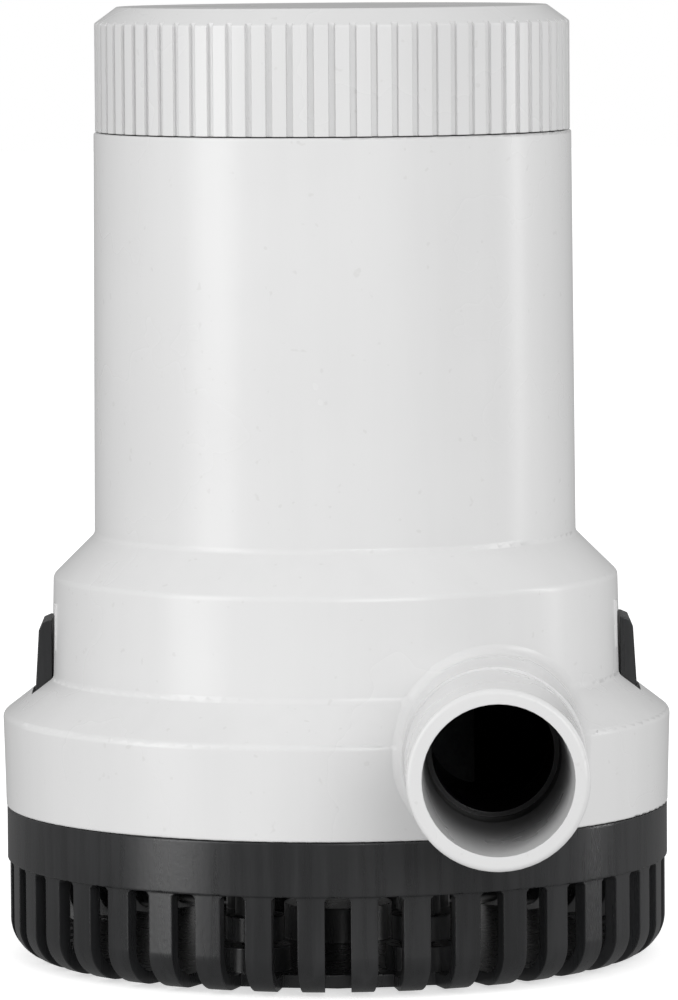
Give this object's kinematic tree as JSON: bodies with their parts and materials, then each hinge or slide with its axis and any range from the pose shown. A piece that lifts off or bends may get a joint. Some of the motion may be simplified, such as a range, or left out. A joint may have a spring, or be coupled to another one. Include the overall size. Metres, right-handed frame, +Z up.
{
  "type": "bilge pump",
  "caption": "Submersible bilge pump: a round motor casing with a ribbed screw cap on a flared housing with a side hose outlet, latched to a slotted strainer base.",
  "frame": {"origin": "centre of the strainer's underside, on the motor axis", "axes": "+Z up along the motor axis, -Y out of the hose outlet, +X to the outlet's side of the housing"},
  "size_m": [0.111, 0.1435, 0.1576],
  "materials": {
    "black_strainer": "satin charcoal moulded plastic",
    "black_tab": "satin charcoal moulded plastic",
    "black_cover": "satin charcoal moulded plastic",
    "white_housing": "satin gloss white ABS",
    "white_cap": "satin gloss white ABS",
    "white_nut": "satin gloss white ABS",
    "seal_rubber": "matt black nitrile",
    "gasket_rubber": "matt black sheet rubber",
    "gland_rubber": "matt black rubber",
    "screw_steel": "passivated stainless steel",
    "impeller_plastic": "glass-filled grey plastic",
    "shaft_steel": "ground stainless steel",
    "plate_steel": "zinc-plated pressed steel",
    "bronze": "sintered bronze",
    "can_steel": "zinc-plated drawn steel",
    "ferrite": "matt dark ferrite",
    "lamination_steel": "stacked electrical steel",
    "copper": "enamelled copper wire",
    "copper_bar": "turned copper segments",
    "carbon": "pressed carbon",
    "brass": "bright brass",
    "spring_steel": "spring steel wire",
    "plate_plastic": "dark moulded plastic",
    "suppressor": "blue dipped component",
    "lead_brown": "brown insulated wire",
    "lead_black": "black insulated wire"
  },
  "bodies": {
    "strainer": {"strainer_base": "black_strainer"},
    "pump": {"pump_body": "white_housing", "volute_cover": "black_cover", "cover_gasket": "gasket_rubber", "cover_screw_1": "screw_steel", "cover_screw_2": "screw_steel", "cover_screw_3": "screw_steel", "cover_screw_4": "screw_steel", "lower_lip_seal": "seal_rubber", "upper_lip_seal": "seal_rubber", "drive_end_plate": "plate_steel", "drive_end_bearing": "bronze", "motor_can": "can_steel", "right_field_magnet": "ferrite", "left_field_magnet": "ferrite", "rear_tie_bolt": "screw_steel", "front_tie_bolt": "screw_steel", "right_carbon_brush": "carbon", "left_carbon_brush": "carbon", "right_brush_holder": "brass", "left_brush_holder": "brass", "right_brush_spring": "spring_steel", "left_brush_spring": "spring_steel", "brush_end_plate": "plate_plastic", "brush_end_bearing": "bronze", "noise_suppressor": "suppressor", "right_inner_lead": "lead_brown", "left_inner_lead": "lead_black", "cable_gland": "gland_rubber", "gland_nut": "white_nut"},
    "rotor": {"motor_shaft": "shaft_steel", "impeller": "impeller_plastic", "armature_core": "lamination_steel", "armature_windings": "copper", "commutator": "copper_bar"},
    "right_tab": {"right_release_tab": "black_tab"},
    "left_tab": {"left_release_tab": "black_tab"},
    "cap_seal": {"cap_seal_ring": "seal_rubber"},
    "cap": {"top_cap": "white_cap"}
  },
  "joints": [
    {"name": "pump_lift", "type": "slide", "parent": "strainer", "child": "pump", "axis": [0, 0, 1], "range_m": [0, 0.06]},
    {"name": "right_tab_press", "type": "hinge", "parent": "strainer", "child": "right_tab", "pos_m": [0.0484, 0, 0.022], "axis": [0, -1, 0], "range_deg": [0, 5], "stiffness_Nm_per_rad": 2},
    {"name": "left_tab_press", "type": "hinge", "parent": "strainer", "child": "left_tab", "pos_m": [-0.0484, 0, 0.022], "axis": [0, 1, 0], "range_deg": [0, 5], "stiffness_Nm_per_rad": 2},
    {"name": "rotor_spin", "type": "hinge", "parent": "pump", "child": "rotor", "pos_m": [0, 0, 0.06], "axis": [0, 0, -1], "continuous": true},
    {"name": "cap_turn", "type": "hinge", "parent": "pump", "child": "cap_seal", "pos_m": [0, 0, 0.1365], "axis": [0, 0, 1], "range_deg": [0, 1440]},
    {"name": "cap_rise", "type": "slide", "parent": "cap_seal", "child": "cap", "axis": [0, 0, 1], "range_m": [0, 0.0128]}
  ],
  "couplings": [
    {"joint": "cap_rise", "follows": "cap_turn", "m_per_rad": 0.00050929}
  ]
}
